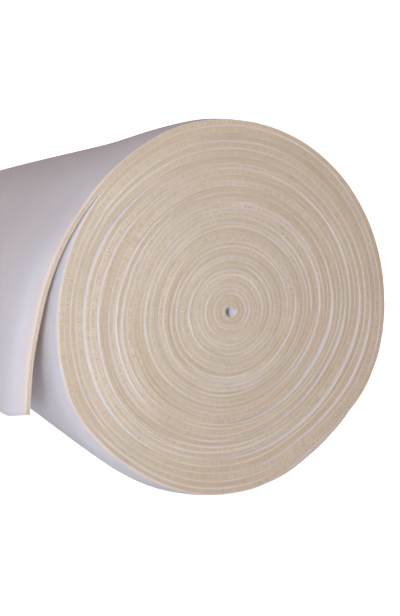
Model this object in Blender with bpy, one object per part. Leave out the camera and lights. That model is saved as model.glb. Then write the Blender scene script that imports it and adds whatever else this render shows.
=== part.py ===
"""A roll of foam stabilizer: one long sheet of soft foam with a knitted fabric face on both sides,
wound up tight with no core and lying on its side, the outer end of the sheet hanging loose.

Metres, +Z up. The roll's axis runs along Y and the end with the loose corner in view faces -Y. The
origin is on the surface that the roll rests on, under the axis, at the middle of the roll's length.
Angles are in degrees about the axis, from +X over the top (+Z) towards -X, seen from the -Y end.
"""

import math

import bmesh
import bpy

# Driving dimensions
SHEET_WIDTH = 1.4732  # 58 in, the length of the roll
SHEET_THICKNESS = 0.0033  # foam and both fabric faces, at the loose end
TURN_PITCH = 0.0039  # one wound turn: the sheet and the air against its neighbour
BODY_RADIUS = 0.1315  # the wound body, away from its ends
FLAT_WIDTH = 0.044  # the flat spot that it rests on
AXIS_HEIGHT = math.sqrt(BODY_RADIUS**2 - (FLAT_WIDTH / 2) ** 2)

# The end of the roll: its edge is drawn in, and the radius swells to the body's over this depth.
SWELL_DEPTH = 0.008
STATIONS = (0.0, 0.003, 0.008, 0.016, 0.035, 0.085, 0.155, 0.240, 0.340, 0.470, 0.620)

# The tight turns, from where the loose end leaves them, round over the top and down the right side
# to the flat spot, and up the left side to the same place, one turn further in.
MM = 0.001
TIGHT_TURN = (
    # angle, edge radius mm, swell mm
    (145, 124.3, 6.0),
    (125, 125.6, 5.5),
    (107, 126.6, 4.6),
    (90, 128.4, 3.2),
    (60, 129.4, 2.2),
    (30, 129.0, 2.5),
    (0, 128.9, 2.6),
    (-25, 128.4, 3.2),
    (-45, 126.1, 5.3),
    (-60, 125.9, 5.4),
    (-80, 127.5, 4.0),
    (-100, 127.4, 4.3),
    (-125, 124.8, 7.5),
    (-150, 124.9, 6.6),
    (-165, 122.4, 5.4),
    (-180, 120.2, 5.2),
    (-197, 119.3, 5.4),
    (-215, 120.4, 6.0),
)

# The loose end: its outer face, from where it leaves the tight turns to its free edge.
LOOSE_END = (
    # angle, edge radius mm, swell mm
    (145, 124.3, 6.0),
    (154, 127.6, 6.2),
    (161, 128.9, 6.4),
    (167, 130.3, 6.6),
    (173, 132.4, 6.8),
    (180, 135.5, 7.0),
    (186, 139.2, 7.0),
    (192, 143.5, 7.1),
    (197, 148.2, 7.2),
    (202, 154.2, 7.2),
)
LOOSE_FROM, LOOSE_FULL = 60, 130  # the loose turn's waves begin and are whole at these angles
LOOSE_WAVE = (
    # depth m, lift mm
    (0.00, 0.0),
    (0.05, 0.4),
    (0.16, -1.8),
    (0.34, 1.0),
    (0.52, 3.0),
    (0.80, 1.2),
    (1.05, -1.2),
    (1.28, 1.0),
    (1.4732, 0.0),
)

# The wound end faces: bands of turns that stand proud of, or back from, the plane of the edge.
BANDS = (
    # share of the radius inside which the band lies, step mm, tilt mm, angle at which it stands out
    (1.00, 0.0, 1.6, -45),
    (0.955, -2.2, 1.2, 170),
    (0.84, -0.6, 1.6, 180),
    (0.735, 2.0, 1.8, 185),
    (0.60, 0.8, 1.4, 200),
    (0.43, 2.2, 0.8, 160),
)
BAND_SLOPE = 0.006  # the share of the radius that a step between two bands takes up
CENTRE_SHARE = 0.06  # the share of the radius where the last band's fan begins

TURN_STEPS = 72  # points round the tight turns
LOOSE_STEPS = 14  # points down the loose end

FABRIC_WHITE = (0.87, 0.86, 0.88, 1.0)
FOAM_CREAM = (0.80, 0.70, 0.53, 1.0)
FABRIC, FOAM = 0, 1  # the roll's material slots


def clear_scene():
    for obj in list(bpy.data.objects):
        bpy.data.objects.remove(obj, do_unlink=True)


def smooth_between(rows, column, at):
    """The value of a table's column at a place in its first column, on a smooth curve through it."""
    rising = rows[-1][0] > rows[0][0]
    rows = rows if rising else rows[::-1]
    places = [row[0] for row in rows]
    values = [row[column] for row in rows]
    at = min(max(at, places[0]), places[-1])
    i = max(k for k in range(len(places) - 1) if places[k] <= at)

    def slope(k):
        low, high = max(k - 1, 0), min(k + 1, len(places) - 1)
        return (values[high] - values[low]) / (places[high] - places[low])

    span = places[i + 1] - places[i]
    t = (at - places[i]) / span
    return (
        (2 * t**3 - 3 * t**2 + 1) * values[i]
        + (t**3 - 2 * t**2 + t) * span * slope(i)
        + (3 * t**2 - 2 * t**3) * values[i + 1]
        + (t**3 - t**2) * span * slope(i + 1)
    )


def swell(depth):
    """How much of the swell a place has, by its depth from the nearer end of the roll."""
    return 1.0 - math.exp(-min(depth, SHEET_WIDTH - depth) / SWELL_DEPTH)


def loose_lift(angle, depth):
    """The height of the loose turn's long waves, which fade out round the right side."""
    share = min(max((angle - LOOSE_FROM) / (LOOSE_FULL - LOOSE_FROM), 0.0), 1.0)
    return share**2 * (3 - 2 * share) * smooth_between(LOOSE_WAVE, 1, depth) * MM


def radius(table, angle, depth):
    edge = smooth_between(table, 1, angle) * MM
    out = smooth_between(table, 2, angle) * MM * swell(depth)
    return edge + out + (loose_lift(angle, depth) if angle > LOOSE_FROM else 0.0)


def polar(angle, length):
    """(x, z) of a point this far from the axis."""
    turn = math.radians(angle)
    return length * math.cos(turn), AXIS_HEIGHT + length * math.sin(turn)


def spread(first, last, steps):
    return [first + (last - first) * k / steps for k in range(steps + 1)]


def tight_outline(depth):
    """(angle, x, z) round the tight turns, from the root of the loose end to the crotch under it."""
    points = []
    for angle in spread(TIGHT_TURN[0][0], TIGHT_TURN[-1][0], TURN_STEPS):
        x, z = polar(angle, radius(TIGHT_TURN, angle, depth))
        points.append((angle, x, max(z, 0.0)))
    root_angle = TIGHT_TURN[0][0]
    crotch = radius(TIGHT_TURN, root_angle, depth) - TURN_PITCH
    points[-1] = (points[-1][0], *polar(root_angle, crotch))
    return points


def loose_outlines(depth):
    """(angle, x, z) down the outer face of the loose end and down its inner face, root left out."""
    angles = spread(LOOSE_END[0][0], LOOSE_END[-1][0], LOOSE_STEPS)
    outer = [polar(angle, radius(LOOSE_END, angle, depth)) for angle in angles]
    inner = []
    for k in range(1, len(outer)):
        (x0, z0), (x1, z1) = outer[k - 1], outer[min(k + 1, len(outer) - 1)]
        long = math.hypot(x1 - x0, z1 - z0)
        inward = (-(z1 - z0) / long, (x1 - x0) / long)
        x, z = outer[k]
        inner.append((x + inward[0] * SHEET_THICKNESS, z + inward[1] * SHEET_THICKNESS))
    outer_rows = [(angles[k], *outer[k]) for k in range(1, len(outer))]
    inner_rows = [(angles[k + 1], *inner[k]) for k in range(len(inner))]
    return outer_rows, inner_rows


def band_height(band, angle):
    """How far a band of turns stands out of the end face at an angle."""
    _, step, tilt, facing = BANDS[band]
    return (step + tilt * math.cos(math.radians(angle - facing))) * MM


def skin_loop(mesh, depth, end):
    """A loop of vertices round the roll at a depth: the loose end's outer face from its free edge
    up, the tight turns, and the loose end's inner face down to its free edge."""
    outer, inner = loose_outlines(depth)
    loop = []
    for angle, x, z in outer[::-1] + tight_outline(depth) + inner:
        stand = band_height(0, angle) * (1.0 - swell(depth)) * end
        loop.append(mesh.verts.new((x, depth - SHEET_WIDTH / 2 + stand, z)))
    return loop


def join_loops(mesh, first, second, slot, closed=True):
    """Four-sided faces between two loops of as many vertices."""
    count = len(first)
    for k in range(count if closed else count - 1):
        n = (k + 1) % count
        face = mesh.faces.new((first[k], first[n], second[n], second[k]))
        face.material_index = slot


def end_face(mesh, loop, depth, end):
    """The cut edge of the loose end and the bands of wound turns, at one end of the roll."""
    tight = loop[LOOSE_STEPS : LOOSE_STEPS + TURN_STEPS + 1]
    outer = loop[:LOOSE_STEPS][::-1]
    inner = loop[LOOSE_STEPS + TURN_STEPS + 1 :]
    join_loops(mesh, [tight[0], *outer], [tight[-1], *inner], FOAM, closed=False)

    outline = tight_outline(depth)
    flat_end = depth - SHEET_WIDTH / 2

    def ring(share, band):
        verts = []
        for angle, x, z in outline:
            place = (x * share, flat_end + band_height(band, angle) * end)
            height = AXIS_HEIGHT + (z - AXIS_HEIGHT) * share
            verts.append(mesh.verts.new((*place, height)))
        return verts

    before = tight
    for band in range(1, len(BANDS)):
        share = BANDS[band][0]
        for at_share, at_band in ((share + BAND_SLOPE, band - 1), (share, band)):
            following = ring(at_share, at_band)
            join_loops(mesh, before, following, FOAM)
            before = following
    following = ring(CENTRE_SHARE, len(BANDS) - 1)
    join_loops(mesh, before, following, FOAM)
    face = mesh.faces.new(following)
    face.material_index = FOAM


def plain_material(name, colour, roughness):
    material = bpy.data.materials.new(name)
    material.use_nodes = True
    shader = material.node_tree.nodes["Principled BSDF"]
    shader.inputs["Base Color"].default_value = colour
    shader.inputs["Roughness"].default_value = roughness
    shader.inputs["Metallic"].default_value = 0.0
    return material


def make_roll():
    """The whole roll with its loose end, as one closed solid."""
    depths = list(STATIONS) + [SHEET_WIDTH / 2] + [SHEET_WIDTH - d for d in STATIONS[::-1]]
    mesh = bmesh.new()
    loops = []
    for depth in depths:
        end = -1.0 if depth < SHEET_WIDTH / 2 else 1.0
        loops.append(skin_loop(mesh, depth, end))
    for first, second in zip(loops, loops[1:]):
        join_loops(mesh, first, second, FABRIC)
    end_face(mesh, loops[0], depths[0], -1.0)
    end_face(mesh, loops[-1], depths[-1], 1.0)
    bmesh.ops.triangulate(mesh, faces=[face for face in mesh.faces if len(face.verts) > 4])
    bmesh.ops.recalc_face_normals(mesh, faces=mesh.faces)

    data = bpy.data.meshes.new("foam_roll")
    mesh.to_mesh(data)
    mesh.free()
    data.materials.append(plain_material("fabric_white", FABRIC_WHITE, 0.9))
    data.materials.append(plain_material("foam_cream", FOAM_CREAM, 1.0))
    data.shade_smooth()
    data.set_sharp_from_angle(angle=math.radians(40))
    roll = bpy.data.objects.new("foam_roll", data)
    bpy.context.scene.collection.objects.link(roll)
    return roll


clear_scene()
make_roll()
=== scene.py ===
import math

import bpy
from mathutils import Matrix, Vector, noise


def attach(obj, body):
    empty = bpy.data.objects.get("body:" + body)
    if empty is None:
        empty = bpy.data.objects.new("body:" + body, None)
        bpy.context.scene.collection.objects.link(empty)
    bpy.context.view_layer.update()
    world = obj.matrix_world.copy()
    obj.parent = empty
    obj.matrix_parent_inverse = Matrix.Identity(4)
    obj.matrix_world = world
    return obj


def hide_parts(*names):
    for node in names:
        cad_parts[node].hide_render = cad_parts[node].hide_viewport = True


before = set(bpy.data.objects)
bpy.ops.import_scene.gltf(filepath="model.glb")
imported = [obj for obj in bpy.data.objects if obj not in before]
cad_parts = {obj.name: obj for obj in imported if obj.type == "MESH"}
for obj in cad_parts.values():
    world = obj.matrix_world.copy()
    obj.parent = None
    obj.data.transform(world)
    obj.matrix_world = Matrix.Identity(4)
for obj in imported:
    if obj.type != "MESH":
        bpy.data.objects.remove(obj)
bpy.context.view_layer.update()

# The looks of a roll of foam stabilizer: the real sheet, wound turn by turn, with a white knitted
# face on both sides and its cream foam showing in every cut edge. Metres, +Z up, the roll's axis
# along Y. Angles are in degrees about the axis, from +X over the top, seen from the -Y end, and
# they fall on the way in, so one turn further in is 360 less.

MM = 0.001

# Driving dimensions, the same as the solid's
SHEET_WIDTH = 1.4732
SHEET_LENGTH = 13.716
SHEET_THICKNESS = 0.0033
BODY_RADIUS = 0.1315
FLAT_WIDTH = 0.044
AXIS_HEIGHT = math.sqrt(BODY_RADIUS**2 - (FLAT_WIDTH / 2) ** 2)

# The first tight turn's outer face, from where the loose end leaves it. Its edge is crushed inwards
# at the lower right.
TIGHT_TURN = (
    # angle, edge radius mm, swell mm, depth of the lip mm
    (145, 125.0, 4.0, 22),
    (125, 125.9, 2.6, 22),
    (107, 128.3, 2.1, 22),
    (90, 129.0, 2.6, 22),
    (60, 129.7, 2.2, 22),
    (30, 129.5, 1.9, 22),
    (10, 129.4, 1.8, 22),
    (-12, 130.0, 1.6, 22),
    (-22, 129.5, 2.2, 20),
    (-31, 128.3, 4.2, 16),
    (-39, 125.7, 7.2, 12),
    (-48, 123.1, 9.4, 11),
    (-60, 122.7, 9.9, 11),
    (-69, 125.4, 7.9, 12),
    (-78, 127.6, 5.2, 16),
    (-88, 127.9, 4.4, 26),
    (-100, 127.6, 4.8, 22),
    (-125, 124.8, 7.9, 22),
    (-150, 124.9, 6.7, 22),
    (-165, 122.4, 6.4, 20),
    (-180, 120.0, 6.6, 20),
    (-197, 118.9, 7.0, 20),
    (-215, 119.8, 6.6, 22),
)
ROOT_ANGLE = TIGHT_TURN[0][0]
LEFT_TURN = 0.03  # the loose end is its own thickness again within this share of a turn

# The loose end's outer face, from the tight turns to its free edge
LOOSE_END = (
    # angle, edge radius mm, swell mm, depth of the lip mm
    (145, 125.0, 4.0, 22),
    (153, 126.1, 5.6, 22),
    (161, 127.9, 7.8, 23),
    (168, 129.9, 9.2, 24),
    (174, 132.1, 10.0, 24),
    (180, 134.8, 10.4, 24),
    (186, 138.7, 10.4, 24),
    (192, 143.6, 10.4, 24),
    (197, 148.2, 10.0, 24),
    (202.5, 154.6, 9.4, 24),
)
FREE_ANGLE = LOOSE_END[-1][0]
SLOW_DEPTH, SLOW_SHARE = 0.035, 0.2  # this share of the swell is spread over a longer depth
LOOSE_FROM, LOOSE_FULL = 60, 130  # the loose turn's waves begin and are whole at these angles
LOOSE_WAVE = (
    # depth m, lift mm
    (0.00, 0.0),
    (0.05, 0.4),
    (0.16, -1.8),
    (0.34, 1.0),
    (0.52, 3.0),
    (0.80, 1.2),
    (1.05, -1.2),
    (1.28, 1.0),
    (1.4732, 0.0),
)

# How the turns close up on the way in
MEAN_RADIUS = (
    # turns wound over it, mean radius mm
    (0.0, 127.5),
    (1.0, 123.6),
    (3.5, 112.3),
    (6.0, 101.1),
    (9.0, 89.2),
    (12.0, 77.7),
    (34.4, 4.6),
)
LAST_TURN = MEAN_RADIUS[-1][0]

# How far out of round the turns are, deep in the roll and deeper still
SIXTH_TURN, ELEVENTH_TURN, ROUND_TURN = 5.5, 10.5, 30.5  # turns wound over those two, and over a round one
OUT_OF_ROUND = (
    # angle, sixth turn mm, eleventh turn mm
    (145, -2.7, -3.0),
    (135, -3.2, -2.8),
    (120, -2.6, -2.2),
    (90, -0.5, -0.4),
    (60, 0.8, 1.0),
    (40, 1.4, 1.8),
    (20, 2.5, 2.6),
    (0, 3.2, 3.0),
    (-10, 2.8, 2.7),
    (-20, 1.0, 1.2),
    (-30, -0.9, -0.3),
    (-40, -1.8, -1.1),
    (-60, -2.2, -1.3),
    (-80, -0.8, -0.8),
    (-100, 0.5, -0.4),
    (-120, 1.7, -0.4),
    (-145, 1.9, 0.8),
    (-160, 0.5, 0.0),
    (-170, -0.5, -0.4),
    (-180, -1.0, -1.4),
    (-195, -1.8, -2.9),
    (-215, -2.7, -3.0),
)

# How far each turn's edge stands out of the end face, on its left and at its lower right
STANDS_OUT = (
    # left mm, lower right mm
    (-2.5, 0.5),
    (-2.9, 0.4),
    (-3.3, 0.9),
    (-3.5, -0.9),
    (0.0, -0.4),
    (0.6, -2.6),
    (3.2, -2.0),
    (2.3, -1.2),
    (1.5, -3.2),
    (3.2, -2.4),
    (4.6, -1.6),
    (3.9, -3.4),
    (3.2, -2.6),
)

FLATTENING_TURNS = 14.0  # the turns under those lose their mean height over this many
DEEP_MIDDLE = (2.5, -2.5)  # their mean height and how much it varies, left and lower right, mm
DEEP_WANDER = (0.9, 0.7)
STAND_DEPTH = 0.25  # a turn's shift along the roll dies out over this depth

# Painted shade: from here on the fabric under the loose end gets a warm tan, standing in for the dim light
# that comes through the foam.
COVERED_FROM, COVERED_FULL = 0.79, 0.85  # the loose end hangs over the sheet from here on, in metres

TURN_GAP = 0.03 * MM  # air between two turns that lie tight
MOST_THICK = 5.6 * MM  # the foam is no thicker than this where the turns are slack
MOST_SWOLLEN = 12.0 * MM  # nor than this behind the edges
FILLED_FROM = 1.4  # from this turn on the foam fills the room behind the edges again
SLOPE_ANGLE = 0.8  # the sheet's slope is taken over this many degrees to each side

COLUMN_STEP = 4.2 * MM  # between two rows of points across the sheet
# The rows of points along the sheet in its outermost turns, by depth from the nearer end
ROWS = (0.003, 0.006, 0.010, 0.016, 0.026, 0.042, 0.065, 0.095)
ROWS += (0.13, 0.17, 0.22, 0.28, 0.35, 0.43, 0.52, 0.62)
FULL_ROWS_TO = 1.38  # turns that have them all
SOME_ROWS, SOME_ROWS_TO = (0.003, 0.006, 0.012, 0.030), 2.7  # the rows of the turns under them
FRONT_ROWS = (0.002, 0.005)  # the rows of the turns under those

# The cut edge, from the outer face in: mm into the sheet, mm back from the edge
EDGE_PROFILE = ((0.0, 0.24), (0.12, 0.12), (0.42, 0.04), (0.95, 0.0))
EDGE_MIDDLE = -0.04

# An edge that stands proud of its neighbour is rounded off towards it
ROUNDED_SHARE = 0.36  # of the height that it stands proud
MOST_ROUNDED = 1.3 * MM
ROUNDED_DEPTH = 5.0 * MM
ROUNDED_TO = 14  # turns that have it


# The room: the floor's outline, which curves up into a low wall, and the wall above that
ROOM_STEPS = 96
FLOOR_PROFILE = (
    # metres out, metres up
    (0.0, 0.0),
    (7.0, 0.0),
    (8.2, 0.25),
    (9.0, 0.9),
    (9.3, 1.8),
    (9.4, 3.6),
)
WALL_RADIUS, WALL_FROM = FLOOR_PROFILE[-1]
WALL_TO = 16.0

# What a face of the sheet is
OUTER, INNER, CUT, END = range(4)  # the two knitted faces, a long cut edge, the edge across an end

# Each kind's part of the map that the looks are baked to: left, bottom, width, height. Most of the
# map goes to the faces that show.
NEAR_EDGE_MAP = (0.004, 0.004, 0.605, 0.605)
FAR_EDGE_MAP = (0.620, 0.004, 0.376, 0.376)
SHOWN_MAP = (0.004, 0.620, 0.605, 0.360)
LOOSE_INSIDE_MAP = (0.620, 0.390, 0.376, 0.100)
OUTER_MAP = (0.620, 0.500, 0.376, 0.230)
INNER_MAP = (0.620, 0.740, 0.376, 0.230)
END_MAPS = ((0.004, 0.984, 0.900, 0.005), (0.004, 0.992, 0.900, 0.005))
SHOWN_LENGTH = 1.02  # metres of the outer face that show, round to the root of the loose end
LOOSE_LENGTH = 0.20  # metres of the inner face that show, in the gap under the loose end
MAPPED_LEFT, MAPPED_SIZE = -0.156, 0.290  # the square that holds the whole end face


def smooth_between(rows, column, at):
    """The value of a table's column at a place in its first column, on a smooth curve through it."""
    rising = rows[-1][0] > rows[0][0]
    rows = rows if rising else rows[::-1]
    places = [row[0] for row in rows]
    values = [row[column] for row in rows]
    at = min(max(at, places[0]), places[-1])
    i = max(k for k in range(len(places) - 1) if places[k] <= at)

    def slope(k):
        low, high = max(k - 1, 0), min(k + 1, len(places) - 1)
        return (values[high] - values[low]) / (places[high] - places[low])

    span = places[i + 1] - places[i]
    t = (at - places[i]) / span
    return (
        (2 * t**3 - 3 * t**2 + 1) * values[i]
        + (t**3 - 2 * t**2 + t) * span * slope(i)
        + (3 * t**2 - 2 * t**3) * values[i + 1]
        + (t**3 - t**2) * span * slope(i + 1)
    )


def ease(low, high, at):
    t = min(max((at - low) / (high - low), 0.0), 1.0)
    return t * t * (3 - 2 * t)


def wander(seed, *at):
    """A smooth random number from -1 to 1 that changes with the place."""
    place = Vector((at[0], at[1] if len(at) > 1 else 0.0, seed * 7.31))
    return noise.noise(place) * 1.6


def turn_of(angle):
    return (ROOT_ANGLE - angle) / 360.0


def in_first_turn(angle):
    """The same direction, as an angle of the first tight turn."""
    return ROOT_ANGLE - (ROOT_ANGLE - angle) % 360.0


def out_of_round(angle):
    """How far a turn is from its mean radius, in mm: the outermost turn's shape, fading into those
    of the sixth and the eleventh, and to round at the centre."""
    turn = turn_of(angle)
    flat = in_first_turn(angle)
    outer = smooth_between(TIGHT_TURN, 1, flat) - smooth_between(MEAN_RADIUS, 1, turn_of(flat))
    if turn >= 1.0:
        first, last = TIGHT_TURN[0][1] - MEAN_RADIUS[0][1], TIGHT_TURN[-1][1] - MEAN_RADIUS[1][1]
        outer += (last - first) * (1.0 - ease(1.0, 1.2, turn))
    sixth = smooth_between(OUT_OF_ROUND, 1, flat)
    eleventh = smooth_between(OUT_OF_ROUND, 2, flat)
    if turn < 1.0:
        return outer
    if turn < SIXTH_TURN:
        share = (turn - 1.0) / (SIXTH_TURN - 1.0)
        return outer + (sixth - outer) * share
    if turn < ELEVENTH_TURN:
        share = (turn - SIXTH_TURN) / (ELEVENTH_TURN - SIXTH_TURN)
        return sixth + (eleventh - sixth) * share
    return eleventh * max(1.0 - (turn - ELEVENTH_TURN) / (ROUND_TURN - ELEVENTH_TURN), 0.0)


def edge_radius(angle):
    """The outer face's radius at the roll's ends."""
    if angle > ROOT_ANGLE:
        return smooth_between(LOOSE_END, 1, angle) * MM
    turn = turn_of(angle)
    radius = smooth_between(MEAN_RADIUS, 1, turn) + out_of_round(angle)
    if turn > 1.0:
        loose = ease(1.0, 1.6, turn)
        radius += 0.22 * loose * wander(1, turn * 11.0)
    return radius * MM


def lip(share):
    """The curve of the sheet at the roll's ends: straight over a third of the lip, then easing off."""
    past = min(max((share - 1 / 3) * 1.5, 0.0), 1.0)
    return (min(share, 1 / 3) + (past - past**3 + past**4 / 2) * 2 / 3) * 1.5


def swell(angle, depth):
    """How much further out the outer face lies at a depth from the roll's front end."""
    table = LOOSE_END if angle > ROOT_ANGLE else TIGHT_TURN
    flat = angle if angle > ROOT_ANGLE else in_first_turn(angle)
    fade = 1.0 - ease(1.05, SOME_ROWS_TO - 0.1, turn_of(angle))
    near = max(min(depth, SHEET_WIDTH - depth), 0.0)
    quick = lip(near / MM / smooth_between(table, 3, flat))
    slow = 1.0 - math.exp(-near / SLOW_DEPTH)
    out = smooth_between(table, 2, flat) * (quick + (slow - quick) * SLOW_SHARE) * fade
    if angle > LOOSE_FROM:
        share = ease(LOOSE_FROM, LOOSE_FULL, angle)
        out += share * smooth_between(LOOSE_WAVE, 1, depth)
    return out * MM


def turn_height(index, side):
    """How far a whole turn stands out of the end face, in mm, on the left (0) or lower right (1)."""
    if index < 0:
        return 0.0
    if index < len(STANDS_OUT):
        return STANDS_OUT[index][side]
    fade = max(1.0 - (index - len(STANDS_OUT)) / FLATTENING_TURNS, 0.0)
    return DEEP_MIDDLE[side] * fade + DEEP_WANDER[side] * wander(3 + side, index * 0.77)


def stands_out(angle):
    """How far the sheet's front edge stands out of the plane of the end face."""
    turn = turn_of(angle)
    own = max(int(turn), 0)
    height = 0.0
    for index in (own - 1, own, own + 1):
        along = turn - index
        left = ease(0.68, 0.81, along) * (1.0 - ease(1.0, 1.15, along))
        right = ease(0.37, 0.46, along) * (1.0 - ease(0.60, 0.70, along))
        height += turn_height(index, 0) * left + turn_height(index, 1) * right
    settle = ease(-0.05, 0.1, turn)
    height += settle * (0.5 * wander(5, turn * 3.1) + 0.14 * wander(6, turn * 70.0))
    return height * MM


def place_on(angle, radius):
    turn = math.radians(angle)
    return radius * math.cos(turn), AXIS_HEIGHT + radius * math.sin(turn)


def sheet_path():
    """(angle, metres along the sheet) at each column of points, from the free edge to the centre."""
    path = []
    angle, along = float(FREE_ANGLE), 0.0
    last = ROOT_ANGLE - 360.0 * LAST_TURN
    while angle > last:
        path.append((angle, along))
        radius = edge_radius(angle) - SHEET_THICKNESS / 2
        step = min(COLUMN_STEP, radius * 0.35)
        slant = abs(edge_radius(angle - 0.5) - edge_radius(angle + 0.5)) / math.radians(1.0)
        angle -= math.degrees(step / math.hypot(radius, slant))
        along += step
    return path


def thickness(angle):
    """The sheet's thickness: what the turns leave it, in the wound part."""
    if angle > ROOT_ANGLE:
        return SHEET_THICKNESS
    pitch = edge_radius(angle) - edge_radius(angle - 360.0)
    wound = min(max(pitch - TURN_GAP, 2.4 * MM), MOST_THICK)
    share = ease(0.0, LEFT_TURN, turn_of(angle))
    return SHEET_THICKNESS + (wound - SHEET_THICKNESS) * share


def rounded(angle):
    """How far the front edge is rounded off, on the sheet's outer side and on its inner side."""
    turn = turn_of(angle)
    if not 1.0 < turn < ROUNDED_TO:
        return 0.0, 0.0
    fade = ease(1.0, 1.3, turn) * (1.0 - ease(ROUNDED_TO - 1.0, ROUNDED_TO, turn)) * ROUNDED_SHARE
    height = stands_out(angle)
    outer = max(height - stands_out(angle + 360.0), 0.0)
    inner = max(height - stands_out(angle - 360.0), 0.0)
    return min(outer * fade, MOST_ROUNDED), min(inner * fade, MOST_ROUNDED)


def outer_place(angle, depth):
    return place_on(angle, edge_radius(angle) + swell(angle, depth))


def fills_up(turn):
    """Whether the foam swells behind its cut edge until it meets the turn under it."""
    return LEFT_TURN < turn < 1.0 or FILLED_FROM < turn < SOME_ROWS_TO


def section(angle, depths):
    """The sheet's outer and inner points at each depth: (x, z) pairs, by the slope of its path. Away
    from the cut edge the foam swells until it meets the next turn."""
    edge_thick = thickness(angle)
    round_outer, round_inner = rounded(angle)
    points = []
    for depth in depths:
        x0, z0 = outer_place(min(angle + SLOPE_ANGLE, FREE_ANGLE), depth)
        x, z = outer_place(angle, depth)
        x1, z1 = outer_place(angle - SLOPE_ANGLE, depth)
        long = math.hypot(x1 - x0, z1 - z0)
        inward = ((z1 - z0) / long, -(x1 - x0) / long)
        thick = edge_thick
        if fills_up(turn_of(angle)):
            fill = max(swell(angle, depth) - swell(angle - 360.0, depth), 0.0)
            thick = min(thick + fill, MOST_SWOLLEN)
        near_edge = max(1.0 - depth / ROUNDED_DEPTH, 0.0) ** 2
        first, last = round_outer * near_edge, thick - round_inner * near_edge
        outer = (x + inward[0] * first, max(z + inward[1] * first, 0.0))
        inner = (x + inward[0] * last, max(z + inward[1] * last, thick * 0.97))
        points.append((outer, inner))
    return edge_thick, points


def rows_at(turn):
    """The depths of the rows of points in a turn: fewer in the turns that only their edges show of."""
    if turn < FULL_ROWS_TO:
        half = ROWS
    elif turn < SOME_ROWS_TO:
        half = SOME_ROWS
    else:
        return list(FRONT_ROWS) if turn < ROUNDED_TO else []
    return [*half, SHEET_WIDTH / 2, *(SHEET_WIDTH - depth for depth in half[::-1])]


def column_points(angle):
    """One closed loop of (point, metres into the cut edge) round the sheet's cross-section, and the
    sheet's thickness. It starts at the middle of the front cut edge and goes over the outer face."""
    lead = EDGE_PROFILE[0][1] * MM
    depths = [lead, *rows_at(turn_of(angle)), SHEET_WIDTH - lead]
    thick, faces = section(angle, [0.0] + depths + [SHEET_WIDTH])
    height = stands_out(angle)
    front_y = -SHEET_WIDTH / 2 - height

    def between(pair, share):
        (x0, z0), (x1, z1) = pair
        return x0 + (x1 - x0) * share, z0 + (z1 - z0) * share

    def edge(pair, y, into, back):
        x, z = between(pair, into / thick)
        return (x, y + back, z), into

    def on_face(place, depth):
        x, z = place
        shift = height * math.exp(-min(depth, SHEET_WIDTH - depth) / STAND_DEPTH)
        return (x, depth - SHEET_WIDTH / 2 - shift, z), 0.0

    front, back = faces[0], faces[-1]
    loop = [edge(front, front_y, thick / 2, EDGE_MIDDLE * MM)]
    for into, drawn in EDGE_PROFILE[:0:-1]:
        loop.append(edge(front, front_y, into * MM, drawn * MM))
    for (outer, _), depth in zip(faces[1:-1], depths):
        loop.append(on_face(outer, depth))
    for into, drawn in EDGE_PROFILE[1:]:
        loop.append(edge(back, front_y + SHEET_WIDTH, into * MM, -drawn * MM))
    loop.append(edge(back, front_y + SHEET_WIDTH, thick / 2, -EDGE_MIDDLE * MM))
    for into, drawn in EDGE_PROFILE[:0:-1]:
        loop.append(edge(back, front_y + SHEET_WIDTH, thick - into * MM, -drawn * MM))
    for (_, inner), depth in list(zip(faces[1:-1], depths))[::-1]:
        loop.append(on_face(inner, depth))
    for into, drawn in EDGE_PROFILE[1:]:
        loop.append(edge(front, front_y, thick - into * MM, drawn * MM))
    return loop, thick


def stitch(first, second, verts):
    """Triangles between two rows of points along Y that need not have as many points."""
    triangles = []
    i = j = 0
    while i < len(first) - 1 or j < len(second) - 1:
        ahead_first = i < len(first) - 1 and (
            j == len(second) - 1 or verts[first[i + 1]][1] <= verts[second[j + 1]][1]
        )
        if ahead_first:
            triangles.append((first[i], second[j], first[i + 1]))
            i += 1
        else:
            triangles.append((first[i], second[j], second[j + 1]))
            j += 1
    return triangles


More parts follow.
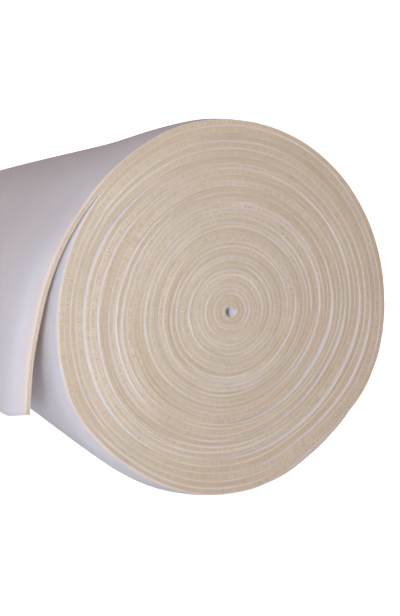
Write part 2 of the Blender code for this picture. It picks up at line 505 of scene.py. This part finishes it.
def wind_sheet():
    """The whole sheet, wound up, as one closed mesh."""
    verts, faces, kinds = [], [], []
    along_sheet, into_sheet = [], []
    edge_count = len(EDGE_PROFILE)
    before = None
    for angle, along in sheet_path():
        loop, thick = column_points(angle)
        start = len(verts)
        for (x, y, z), into in loop:
            verts.append((x, y, z))
            along_sheet.append(along)
            into_sheet.append(min(into, thick - into) if into else 0.0)
        here = list(range(start, len(verts)))
        half = len(here) // 2
        if before is None:
            faces.extend(cap(here))
            kinds.extend([END] * len(faces))
        else:
            old_half = len(before) // 2
            if len(before) == len(here):
                for k in range(len(here)):
                    n = (k + 1) % len(here)
                    faces.append((before[k], here[k], here[n], before[n]))
                    in_edge = k < edge_count - 1 or half - edge_count < k < half + edge_count - 1
                    in_edge = in_edge or k > len(here) - edge_count
                    kinds.append(CUT if in_edge else OUTER if k < half else INNER)
            else:
                for k in range(edge_count):
                    pairs = (
                        (before[k], before[k + 1], here[k], here[k + 1]),
                        (before[old_half - k - 1], before[old_half - k], here[half - k - 1], here[half - k]),
                        (before[old_half + k], before[old_half + k + 1], here[half + k], here[half + k + 1]),
                        (before[-k - 1], before[-k if k else 0], here[-k - 1], here[-k if k else 0]),
                    )
                    for (a, b, c, d), side in zip(pairs, (OUTER, OUTER, INNER, INNER)):
                        faces.append((a, c, d, b))
                        kinds.append(CUT if k < edge_count - 1 else side)
                outer = stitch(
                    before[edge_count : old_half - edge_count + 1],
                    here[edge_count : half - edge_count + 1],
                    verts,
                )
                inner = stitch(
                    before[old_half + edge_count : len(before) - edge_count + 1][::-1],
                    here[half + edge_count : len(here) - edge_count + 1][::-1],
                    verts,
                )
                faces.extend(outer)
                faces.extend([face[::-1] for face in inner])
                kinds.extend([OUTER] * len(outer) + [INNER] * len(inner))
        before = here
    last = cap(before)
    faces.extend([face[::-1] for face in last])
    kinds.extend([END] * len(last))
    return verts, faces, kinds, along_sheet, into_sheet


def cap(loop):
    """The cut edge across the sheet at one of its ends."""
    half = len(loop) // 2
    faces = [(loop[0], loop[1], loop[-1])]
    for k in range(1, half - 1):
        faces.append((loop[k], loop[k + 1], loop[-k - 1], loop[-k]))
    faces.append((loop[half - 1], loop[half], loop[half + 1]))
    return faces


def node(tree, kind, **values):
    made = tree.nodes.new(kind)
    for key, value in values.items():
        setattr(made, key, value)
    return made


def place_node(tree):
    return node(tree, "ShaderNodeAttribute", attribute_name="sheet_place").outputs["Vector"]


def stretched(tree, vector, scale):
    """The place on the sheet in units of a pattern's own size."""
    mapping = node(tree, "ShaderNodeMapping")
    mapping.inputs["Scale"].default_value = scale
    tree.links.new(vector, mapping.inputs["Vector"])
    return mapping.outputs["Vector"]


def noise_node(tree, vector, detail=2.0, rough=0.5):
    made = node(tree, "ShaderNodeTexNoise")
    made.inputs["Scale"].default_value = 1.0
    made.inputs["Detail"].default_value = detail
    made.inputs["Roughness"].default_value = rough
    tree.links.new(vector, made.inputs["Vector"])
    return made.outputs["Fac"]


def blend_colours(tree, factor, first, second):
    mix = node(tree, "ShaderNodeMix", data_type="RGBA")
    for socket, value in ((6, first), (7, second)):
        if isinstance(value, tuple):
            mix.inputs[socket].default_value = (*value, 1.0)
        else:
            tree.links.new(value, mix.inputs[socket])
    tree.links.new(factor, mix.inputs[0])
    return mix.outputs[2]


def ranged(tree, value, low, high, to_low, to_high):
    made = node(tree, "ShaderNodeMapRange")
    made.inputs["From Min"].default_value = low
    made.inputs["From Max"].default_value = high
    made.inputs["To Min"].default_value = to_low
    made.inputs["To Max"].default_value = to_high
    tree.links.new(value, made.inputs["Value"])
    return made.outputs["Result"]


def multiplied(tree, first, second):
    made = node(tree, "ShaderNodeMath", operation="MULTIPLY")
    tree.links.new(first, made.inputs[0])
    tree.links.new(second, made.inputs[1])
    return made.outputs["Value"]


def multiply_add(tree, value, factor, added):
    made = node(tree, "ShaderNodeMath", operation="MULTIPLY_ADD")
    made.inputs[1].default_value = factor
    tree.links.new(value, made.inputs[0])
    tree.links.new(added, made.inputs[2])
    return made.outputs["Value"]


def bumped(tree, shader, *layers):
    """Bump from (height, distance, strength) layers, one on top of the other."""
    normal = None
    for height, distance, strength in layers:
        bump = node(tree, "ShaderNodeBump")
        bump.inputs["Distance"].default_value = distance
        bump.inputs["Strength"].default_value = strength
        tree.links.new(height, bump.inputs["Height"])
        if normal:
            tree.links.new(normal, bump.inputs["Normal"])
        normal = bump.outputs["Normal"]
    tree.links.new(normal, shader.inputs["Normal"])


def knit_height(tree, place):
    """Fine ribs round the roll, 1.1 mm apart, crossed by the rows of stitches."""
    ribs = node(tree, "ShaderNodeTexWave", wave_type="BANDS", bands_direction="Y")
    ribs.inputs["Scale"].default_value = 1.0
    ribs.inputs["Distortion"].default_value = 0.6
    ribs.inputs["Detail"].default_value = 1.0
    tree.links.new(stretched(tree, place, (120.0, 286.0, 1.0)), ribs.inputs["Vector"])
    rows = node(tree, "ShaderNodeTexWave", wave_type="BANDS", bands_direction="X")
    rows.inputs["Scale"].default_value = 1.0
    rows.inputs["Distortion"].default_value = 1.0
    tree.links.new(stretched(tree, place, (350.0, 200.0, 1.0)), rows.inputs["Vector"])
    return multiply_add(tree, rows.outputs["Fac"], 0.45, ribs.outputs["Fac"])


def along_and_across(tree, place):
    """Metres along the sheet, and metres across it from its middle line."""
    split = node(tree, "ShaderNodeSeparateXYZ")
    tree.links.new(place, split.inputs["Vector"])
    from_middle = node(tree, "ShaderNodeMath", operation="ABSOLUTE")
    tree.links.new(split.outputs["Y"], from_middle.inputs[0])
    return split.outputs["X"], from_middle.outputs["Value"]


def near_edge(tree, across, fray):
    """How far the fabric is rubbed and dusted with foam, which fades away from its long cut edges."""
    ragged = multiply_add(tree, fray, 0.004, across)
    edge = SHEET_WIDTH / 2
    return ranged(tree, ragged, edge - 0.007, edge + 0.001, 0.0, 0.9)


def painted_shade_under_loose_end(tree, along, across):
    """Where the loose end hangs over the fabric, which only sees light that came through foam: the mask of
    the painted warm shade that stands in for that light.
    """
    begins = ranged(tree, along, COVERED_FROM, COVERED_FULL, 0.0, 1.0)
    ends = ranged(tree, along, COVERED_FULL + 0.1, COVERED_FULL + 0.2, 1.0, 0.0)
    deep = ranged(tree, across, SHEET_WIDTH / 2 - 0.022, SHEET_WIDTH / 2 - 0.004, 1.0, 0.0)
    return multiplied(tree, multiplied(tree, begins, ends), deep)


def fabric_material():
    material = bpy.data.materials.new("knitted_face")
    material.use_nodes = True
    tree = material.node_tree
    shader = tree.nodes["Principled BSDF"]
    place = place_node(tree)
    broad = noise_node(tree, stretched(tree, place, (6.0, 9.0, 1.0)), 3.0)
    fine = noise_node(tree, stretched(tree, place, (260.0, 420.0, 1.0)), 2.0)
    knit = knit_height(tree, place)
    blotches = ranged(tree, broad, 0.35, 0.65, 0.0, 1.0)
    tone = blend_colours(tree, blotches, (0.82, 0.85, 0.91), (0.865, 0.885, 0.945))
    # Painted shade: the knit's grooves are darker, where shade falls between the ribs.
    painted_groove_shade = ranged(tree, knit, 0.0, 0.7, 0.45, 0.0)
    with_groove_shade = blend_colours(tree, painted_groove_shade, tone, (0.76, 0.775, 0.83))
    along, across = along_and_across(tree, place)
    # Painted shade: a warm tan under the loose end, fading towards the cut edges, for the light that comes
    # through the foam.
    painted_shade_warmed = blend_colours(tree, painted_shade_under_loose_end(tree, along, across), with_groove_shade, (0.87, 0.73, 0.60))
    colour = blend_colours(tree, near_edge(tree, across, fine), painted_shade_warmed, (0.85, 0.80, 0.745))
    tree.links.new(colour, shader.inputs["Base Color"])
    tree.links.new(ranged(tree, fine, 0.3, 0.7, 0.78, 0.95), shader.inputs["Roughness"])
    shader.inputs["Specular IOR Level"].default_value = 0.25
    shader.inputs["Subsurface Weight"].default_value = 0.6
    shader.inputs["Subsurface Radius"].default_value = (1.0, 0.8, 0.65)
    shader.inputs["Subsurface Scale"].default_value = 0.002
    shader.inputs["Sheen Weight"].default_value = 0.15
    shader.inputs["Sheen Roughness"].default_value = 0.5
    bumped(tree, shader, (broad, 0.0012, 0.35), (knit, 0.00012, 0.5), (fine, 0.0001, 0.3))
    return material


def foam_material():
    """The cut edge: cream foam with open cells, between the cut edges of the two white faces."""
    material = bpy.data.materials.new("cut_foam")
    material.use_nodes = True
    tree = material.node_tree
    shader = tree.nodes["Principled BSDF"]
    place = place_node(tree)
    into = node(tree, "ShaderNodeAttribute", attribute_name="into_sheet").outputs["Fac"]
    cells = noise_node(tree, stretched(tree, place, (1500.0, 1500.0, 900.0)), 2.0, 0.6)
    drag = noise_node(tree, stretched(tree, place, (1300.0, 200.0, 330.0)), 3.0, 0.65)
    patches = noise_node(tree, stretched(tree, place, (45.0, 45.0, 30.0)), 2.0, 0.5)
    stretch = noise_node(tree, stretched(tree, place, (5.0, 1.0, 1.0)), 2.0, 0.6)
    bared = noise_node(tree, stretched(tree, place, (9.0, 1.0, 1.0)), 3.0, 0.6)
    by_length = ranged(tree, stretch, 0.35, 0.65, 0.0, 1.0)
    pale = blend_colours(tree, by_length, (0.66, 0.57, 0.385), (0.85, 0.775, 0.60))
    cream = blend_colours(tree, ranged(tree, patches, 0.3, 0.7, 0.0, 0.5), pale, (0.80, 0.70, 0.56))
    dragged = blend_colours(tree, ranged(tree, drag, 0.3, 0.6, 0.0, 1.0), (0.70, 0.59, 0.44), cream)
    # Painted shade: the foam's open cells are darker, where shade falls in them.
    with_cell_shade = blend_colours(tree, ranged(tree, cells, 0.32, 0.5, 0.0, 1.0), (0.62, 0.52, 0.385), dragged)
    ragged = multiply_add(tree, drag, 0.0012, into)
    ragged = multiply_add(tree, bared, -0.0036, ragged)
    is_foam = ranged(tree, ragged, -0.0017, -0.0003, 0.0, 1.0)
    colour = blend_colours(tree, is_foam, (0.95, 0.895, 0.845), with_cell_shade)
    tree.links.new(colour, shader.inputs["Base Color"])
    tree.links.new(ranged(tree, cells, 0.3, 0.7, 1.0, 0.85), shader.inputs["Roughness"])
    shader.inputs["Specular IOR Level"].default_value = 0.15
    shader.inputs["Subsurface Weight"].default_value = 0.6
    shader.inputs["Subsurface Radius"].default_value = (1.0, 0.8, 0.65)
    shader.inputs["Subsurface Scale"].default_value = 0.002
    bumped(tree, shader, (drag, 0.0002, 0.3), (cells, 0.0003, 0.5))
    return material


def bake_places(verts, faces, kinds, along, into):
    """The places of all the faces' corners in the map that the looks are baked to."""
    places = []
    for face, kind in zip(faces, kinds):
        length = max(along[v] for v in face)
        for v in face:
            x, y, z = verts[v]
            across = min(max(y / SHEET_WIDTH + 0.5, 0.0), 1.0)
            if kind == CUT:
                part = NEAR_EDGE_MAP if y < 0.0 else FAR_EDGE_MAP
                right, up = (x - MAPPED_LEFT) / MAPPED_SIZE, z / MAPPED_SIZE
            elif kind == END:
                part = END_MAPS[0] if length < SHOWN_LENGTH else END_MAPS[1]
                right, up = across, into[v] / SHEET_THICKNESS * 2.0
            elif kind == OUTER and length < SHOWN_LENGTH:
                part, right, up = SHOWN_MAP, along[v] / SHOWN_LENGTH, across
            elif kind == INNER and length < LOOSE_LENGTH:
                part, right, up = LOOSE_INSIDE_MAP, across, along[v] / LOOSE_LENGTH
            else:
                part = OUTER_MAP if kind == OUTER else INNER_MAP
                right, up = along[v] / SHEET_LENGTH, across
            left, bottom, width, height = part
            places.extend((left + width * right, bottom + height * min(up, 1.0)))
    return places


def make_sheet():
    verts, faces, kinds, along, into = wind_sheet()
    data = bpy.data.meshes.new("foam_sheet")
    data.from_pydata(verts, [], faces)
    data.materials.append(fabric_material())
    data.materials.append(foam_material())
    data.polygons.foreach_set("material_index", [1 if kind in (CUT, END) else 0 for kind in kinds])
    data.polygons.foreach_set("use_smooth", [True] * len(faces))
    place = data.attributes.new("sheet_place", "FLOAT_VECTOR", "POINT")
    flat = []
    for k in range(len(verts)):
        flat.extend((along[k], verts[k][1], into[k]))
    place.data.foreach_set("vector", flat)
    data.attributes.new("into_sheet", "FLOAT", "POINT").data.foreach_set("value", into)
    bake_map = data.uv_layers.new(name="OFBake")
    bake_map.data.foreach_set("uv", bake_places(verts, faces, kinds, along, into))
    data.update()
    piece = bpy.data.objects.new("foam_sheet", data)
    bpy.context.scene.collection.objects.link(piece)
    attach(piece, "root")
    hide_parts("foam_roll")
    return piece


def room_ring(out, up):
    turns = [2.0 * math.pi * k / ROOM_STEPS for k in range(ROOM_STEPS)]
    return [(out * math.cos(turn), out * math.sin(turn), up) for turn in turns]


def make_floor():
    """A white floor that curves up, far away all round, into a low white wall."""
    verts, faces = [(0.0, 0.0, 0.0)], []
    for out, up in FLOOR_PROFILE[1:]:
        verts.extend(room_ring(out, up))
    for k in range(ROOM_STEPS):
        n = (k + 1) % ROOM_STEPS
        faces.append((0, 1 + k, 1 + n))
        for ring in range(len(FLOOR_PROFILE) - 2):
            low, high = 1 + ring * ROOM_STEPS, 1 + (ring + 1) * ROOM_STEPS
            faces.append((low + k, high + k, high + n, low + n))
    data = bpy.data.meshes.new("floor")
    data.from_pydata(verts, [], faces)
    data.polygons.foreach_set("use_smooth", [True] * len(faces))
    material = bpy.data.materials.new("white_floor")
    material.use_nodes = True
    shader = material.node_tree.nodes["Principled BSDF"]
    shader.inputs["Base Color"].default_value = (0.80, 0.76, 0.76, 1.0)
    shader.inputs["Roughness"].default_value = 0.9
    shader.inputs["Emission Color"].default_value = (0.95, 0.98, 1.0, 1.0)
    shader.inputs["Emission Strength"].default_value = 0.95
    data.materials.append(material)
    floor = bpy.data.objects.new("floor", data)
    bpy.context.scene.collection.objects.link(floor)
    return floor


def make_upper_wall(material):
    """More of the white wall, which only the camera sees, so the room's light comes in through it."""
    verts = room_ring(WALL_RADIUS, WALL_FROM) + room_ring(WALL_RADIUS, WALL_TO)
    faces = []
    for k in range(ROOM_STEPS):
        n = (k + 1) % ROOM_STEPS
        faces.append((k, ROOM_STEPS + k, ROOM_STEPS + n, n))
    data = bpy.data.meshes.new("upper_wall")
    data.from_pydata(verts, [], faces)
    data.materials.append(material)
    wall = bpy.data.objects.new("upper_wall", data)
    bpy.context.scene.collection.objects.link(wall)
    wall.visible_diffuse = False
    wall.visible_glossy = False
    wall.visible_transmission = False
    wall.visible_shadow = False
    return wall


def keep_glow_off(floor, piece):
    """The white of a floor or wall is its own glow, which doesn't light the piece."""
    lit = bpy.data.collections.new("not_lit_by_" + floor.name)
    lit.objects.link(piece)
    floor.light_linking.receiver_collection = lit
    lit.collection_objects[0].light_linking.link_state = "EXCLUDE"


def make_world():
    """Soft light from the whole room above the wall: cooler on the left, warmer in front on the right."""
    world = bpy.data.worlds.new("studio")
    bpy.context.scene.world = world
    world.use_nodes = True
    tree = world.node_tree
    background = tree.nodes["Background"]
    coordinates = node(tree, "ShaderNodeTexCoord")
    split = node(tree, "ShaderNodeSeparateXYZ")
    tree.links.new(coordinates.outputs["Generated"], split.inputs["Vector"])
    front = node(tree, "ShaderNodeMath", operation="SUBTRACT")
    tree.links.new(split.outputs["X"], front.inputs[0])
    tree.links.new(split.outputs["Y"], front.inputs[1])
    side = ranged(tree, front.outputs["Value"], -0.8, 0.9, 0.0, 1.0)
    colour = blend_colours(tree, side, (0.255, 0.208, 0.238), (0.195, 0.108, 0.046))
    tree.links.new(colour, background.inputs["Color"])
    background.inputs["Strength"].default_value = 1.0


def make_lamp(name, energy, colour, size, location, target):
    """A round soft light that faces its target."""
    light = bpy.data.lights.new(name, "AREA")
    light.shape = "DISK"
    light.size = size
    light.energy = energy
    light.color = colour
    lamp = bpy.data.objects.new(name, light)
    lamp.location = location
    lamp.rotation_mode = "QUATERNION"
    lamp.rotation_quaternion = (target - location).to_track_quat("-Z", "Y")
    bpy.context.scene.collection.objects.link(lamp)


def make_lights():
    """A soft light low down on the left, in front of the roll's near end, and two for its far sides."""
    near_left = Vector((-BODY_RADIUS, -SHEET_WIDTH / 2, AXIS_HEIGHT * 0.8))
    key_place = near_left + Vector((-0.42, -0.90, 0.08)).normalized() * 0.60
    make_lamp("key", 2.05, (0.84, 0.89, 1.0), 0.12, key_place, near_left)
    middle = Vector((0.0, 0.0, AXIS_HEIGHT))
    far_end = Vector((0.0, SHEET_WIDTH / 2, AXIS_HEIGHT))
    make_lamp("fill_right", 15.0, (1.0, 0.98, 0.96), 0.9, Vector((1.9, 0.5, 0.9)), middle)
    make_lamp("fill_far", 12.0, (1.0, 0.98, 0.96), 0.7, Vector((-0.7, 2.1, 0.8)), far_end)


def make_camera():
    """In front of the near end, a little to the left, looking slightly down at it."""
    camera = bpy.data.cameras.new("camera")
    camera.lens = 50.4
    camera.sensor_width = 36.0
    camera.clip_end = 200.0
    eye = bpy.data.objects.new("camera", camera)
    eye.location = (-0.2687, -1.2588, 0.1852)
    eye.rotation_euler = (math.radians(90.0 - 5.21), 0.0, math.radians(-25.19))
    bpy.context.scene.collection.objects.link(eye)
    bpy.context.scene.camera = eye


bpy.context.scene.view_settings.view_transform = "Standard"
make_camera()
floor = make_floor()
upper_wall = make_upper_wall(floor.data.materials[0])
make_world()
make_lights()
sheet = make_sheet()
keep_glow_off(floor, sheet)
keep_glow_off(upper_wall, sheet)
